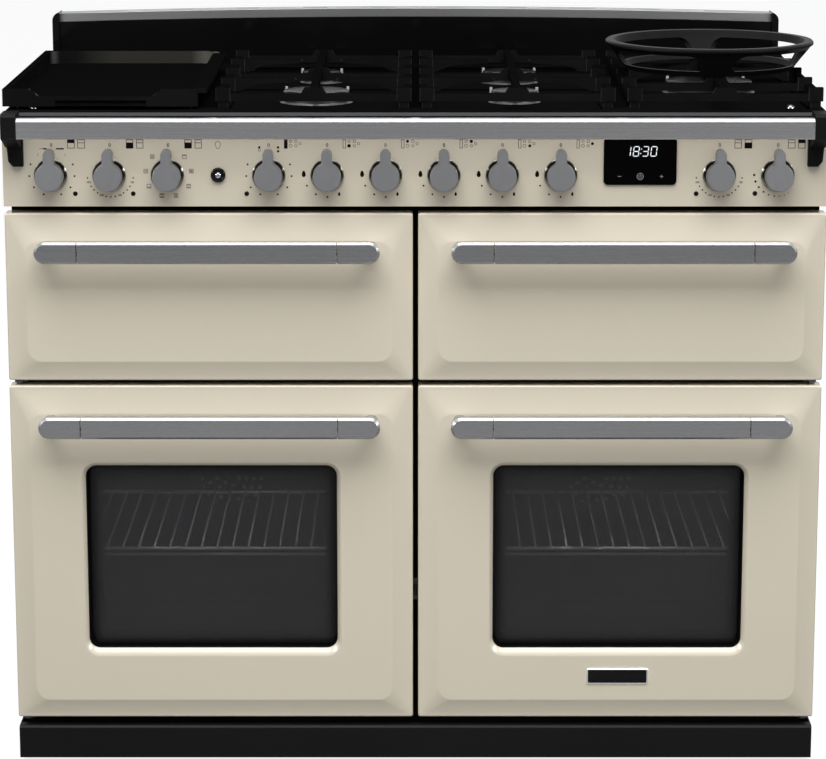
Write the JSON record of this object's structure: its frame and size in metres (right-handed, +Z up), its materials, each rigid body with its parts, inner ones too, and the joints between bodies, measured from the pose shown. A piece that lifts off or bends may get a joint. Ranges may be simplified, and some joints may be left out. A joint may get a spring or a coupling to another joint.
{
  "type": "range cooker",
  "caption": "Wide dual fuel range cooker with two ovens side by side, a pull-out grill and a warming drawer above them, a gas hob with a griddle and a wok ring, and a front handrail.",
  "frame": {"origin": "on the floor, under the middle of the bounding box", "axes": "+X along the width, to the right for someone who faces the doors; +Y from the doors to the back; +Z up"},
  "size_m": [1.102, 0.661, 0.989],
  "materials": {
    "cream_enamel": "gloss",
    "black_enamel": "gloss",
    "grey_enamel": "satin",
    "cast_iron": "matte",
    "satin_steel": "satin",
    "bright_chrome": "polished",
    "oven_glass": "polished",
    "clock_glass": "gloss",
    "hotplate_glass": "polished",
    "zinc_steel": "satin",
    "element_steel": "matte",
    "burner_alloy": "satin",
    "gas_brass": "satin",
    "seal": "matte",
    "foot_plastic": "matte"
  },
  "bodies": {
    "chassis": {"base_frame": "black_enamel", "levelling_feet": "foot_plastic", "plinth": "black_enamel", "side_panels": "black_enamel", "back_panel": "zinc_steel", "front_frame": "black_enamel", "oven_liners": "grey_enamel", "upper_liners": "grey_enamel", "oven_racks": "bright_chrome", "fan_covers": "grey_enamel", "fan_motors": "zinc_steel", "heating_elements": "element_steel", "door_seals": "seal", "hinges_and_runners": "zinc_steel", "gas_rail_and_switches": "gas_brass", "control_fascia": "cream_enamel", "clock_panel": "clock_glass", "knob_bezels": "bright_chrome", "handrail": "satin_steel", "handrail_brackets": "black_enamel", "hob_tray": "black_enamel", "burner_bodies": "burner_alloy", "burner_caps": "cast_iron", "griddle_hotplate": "hotplate_glass", "rear_upstand": "black_enamel", "upstand_trim": "satin_steel"},
    "left_door": {"left_door_panel": "cream_enamel", "left_door_glass": "oven_glass", "left_door_liner": "grey_enamel", "left_door_handle": "satin_steel"},
    "right_door": {"right_door_panel": "cream_enamel", "right_door_glass": "oven_glass", "right_door_liner": "grey_enamel", "right_door_handle": "satin_steel"},
    "grill_drawer": {"grill_front": "cream_enamel", "grill_handle": "satin_steel", "grill_carriage": "zinc_steel", "grill_pan": "grey_enamel"},
    "warming_drawer": {"drawer_front": "cream_enamel", "drawer_handle": "satin_steel", "drawer_tray": "zinc_steel"},
    "griddle": {"griddle": "cast_iron"},
    "left_support": {"left_pan_support": "cast_iron"},
    "middle_support": {"middle_pan_support": "cast_iron"},
    "right_support": {"right_pan_support": "cast_iron"},
    "wok_cradle": {"wok_ring": "cast_iron"},
    "light_button": {"light_button": "bright_chrome"},
    "left_fan": {"left_fan": "zinc_steel"},
    "right_fan": {"right_fan": "zinc_steel"},
    "grill_knob": {"grill_knob": "satin_steel"},
    "left_oven_knob": {"left_oven_knob": "satin_steel"},
    "left_function_knob": {"left_function_knob": "satin_steel"},
    "hotplate_knob": {"hotplate_knob": "satin_steel"},
    "burner_1_knob": {"burner_1_knob": "satin_steel"},
    "burner_2_knob": {"burner_2_knob": "satin_steel"},
    "burner_3_knob": {"burner_3_knob": "satin_steel"},
    "burner_4_knob": {"burner_4_knob": "satin_steel"},
    "burner_5_knob": {"burner_5_knob": "satin_steel"},
    "right_oven_knob": {"right_oven_knob": "satin_steel"},
    "drawer_knob": {"drawer_knob": "satin_steel"}
  },
  "joints": [
    {"name": "left_door_hinge", "type": "hinge", "parent": "chassis", "child": "left_door", "pos_m": [-0.539, -0.2515, 0.301], "axis": [0, 0, -1], "range_deg": [0, 110]},
    {"name": "right_door_hinge", "type": "hinge", "parent": "chassis", "child": "right_door", "pos_m": [0.529, -0.2515, 0.301], "axis": [0, 0, 1], "range_deg": [0, 110]},
    {"name": "grill_slide", "type": "slide", "parent": "chassis", "child": "grill_drawer", "axis": [0, -1, 0], "range_m": [0, 0.3]},
    {"name": "drawer_slide", "type": "slide", "parent": "chassis", "child": "warming_drawer", "axis": [0, -1, 0], "range_m": [0, 0.3]},
    {"name": "griddle_lift", "type": "slide", "parent": "chassis", "child": "griddle", "axis": [0, 0, 1], "range_m": [0, 0.1]},
    {"name": "left_support_lift", "type": "slide", "parent": "chassis", "child": "left_support", "axis": [0, 0, 1], "range_m": [0, 0.1]},
    {"name": "middle_support_lift", "type": "slide", "parent": "chassis", "child": "middle_support", "axis": [0, 0, 1], "range_m": [0, 0.1]},
    {"name": "right_support_lift", "type": "slide", "parent": "chassis", "child": "right_support", "axis": [0, 0, 1], "range_m": [0, 0.1]},
    {"name": "wok_cradle_lift", "type": "slide", "parent": "right_support", "child": "wok_cradle", "axis": [0, 0, 1], "range_m": [0, 0.1]},
    {"name": "grill_knob_turn", "type": "hinge", "parent": "chassis", "child": "grill_knob", "pos_m": [-0.4875, -0.2695, 0.82], "axis": [0, 1, 0], "range_deg": [0, 270]},
    {"name": "left_oven_knob_turn", "type": "hinge", "parent": "chassis", "child": "left_oven_knob", "pos_m": [-0.4103, -0.2695, 0.82], "axis": [0, 1, 0], "range_deg": [0, 300]},
    {"name": "left_function_knob_turn", "type": "hinge", "parent": "chassis", "child": "left_function_knob", "pos_m": [-0.3331, -0.2695, 0.82], "axis": [0, 1, 0], "continuous": true},
    {"name": "hotplate_knob_turn", "type": "hinge", "parent": "chassis", "child": "hotplate_knob", "pos_m": [-0.199, -0.2695, 0.82], "axis": [0, 1, 0], "range_deg": [0, 300]},
    {"name": "burner_1_knob_turn", "type": "hinge", "parent": "chassis", "child": "burner_1_knob", "pos_m": [-0.1218, -0.2695, 0.82], "axis": [0, -1, 0], "range_deg": [0, 210]},
    {"name": "burner_2_knob_turn", "type": "hinge", "parent": "chassis", "child": "burner_2_knob", "pos_m": [-0.0446, -0.2695, 0.82], "axis": [0, -1, 0], "range_deg": [0, 210]},
    {"name": "burner_3_knob_turn", "type": "hinge", "parent": "chassis", "child": "burner_3_knob", "pos_m": [0.0326, -0.2695, 0.82], "axis": [0, -1, 0], "range_deg": [0, 210]},
    {"name": "burner_4_knob_turn", "type": "hinge", "parent": "chassis", "child": "burner_4_knob", "pos_m": [0.1098, -0.2695, 0.82], "axis": [0, -1, 0], "range_deg": [0, 210]},
    {"name": "burner_5_knob_turn", "type": "hinge", "parent": "chassis", "child": "burner_5_knob", "pos_m": [0.187, -0.2695, 0.82], "axis": [0, -1, 0], "range_deg": [0, 210]},
    {"name": "right_oven_knob_turn", "type": "hinge", "parent": "chassis", "child": "right_oven_knob", "pos_m": [0.3968, -0.2695, 0.82], "axis": [0, 1, 0], "range_deg": [0, 300]},
    {"name": "drawer_knob_turn", "type": "hinge", "parent": "chassis", "child": "drawer_knob", "pos_m": [0.474, -0.2695, 0.82], "axis": [0, 1, 0], "range_deg": [0, 300]},
    {"name": "light_button_push", "type": "slide", "parent": "chassis", "child": "light_button", "axis": [0, 1, 0], "range_m": [0, 0.0025], "stiffness_N_per_m": 300, "springref_m": -0.002},
    {"name": "left_fan_spin", "type": "hinge", "parent": "chassis", "child": "left_fan", "pos_m": [-0.27975, 0.1615, 0.301], "axis": [0, -1, 0], "continuous": true},
    {"name": "right_fan_spin", "type": "hinge", "parent": "chassis", "child": "right_fan", "pos_m": [0.26975, 0.1615, 0.301], "axis": [0, -1, 0], "continuous": true}
  ]
}
